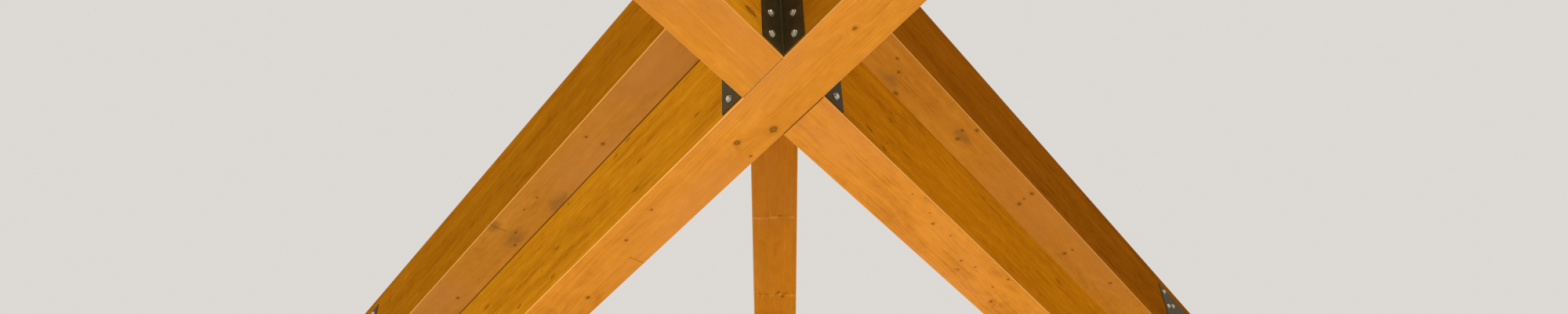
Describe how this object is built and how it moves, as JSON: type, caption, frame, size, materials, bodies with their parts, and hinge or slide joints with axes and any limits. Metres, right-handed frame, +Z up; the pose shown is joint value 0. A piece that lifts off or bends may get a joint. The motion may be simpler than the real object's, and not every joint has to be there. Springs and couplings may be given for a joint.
{
  "type": "wooden roof truss",
  "caption": "Two-tier crossed glulam roof truss: lower and upper beam crosses, king post, valley beam, bolted steel angles and side plates.",
  "frame": {"origin": "under the centre of the crossing, level with the underside of the lower cross", "axes": "+Z up, +Y along the valley beam away from the crossing, between the two far arms"},
  "size_m": [4.998, 6.4854, 1.2],
  "materials": {
    "glulam": "satin varnish",
    "dark_steel": "matt dark paint",
    "zinc": "zinc plated"
  },
  "bodies": {
    "root": {"king_post": "glulam", "valley_beam": "glulam", "lower_through_beam": "glulam", "lower_near_half_beam": "glulam", "lower_far_half_beam": "glulam", "upper_through_beam": "glulam", "upper_near_half_beam": "glulam", "upper_far_half_beam": "glulam", "lower_near_angle": "dark_steel", "lower_left_angle": "dark_steel", "lower_right_angle": "dark_steel", "side_plate_left": "dark_steel", "side_plate_right": "dark_steel", "lower_corner_bolts": "zinc", "side_plate_bolts": "zinc"}
  },
  "joints": []
}
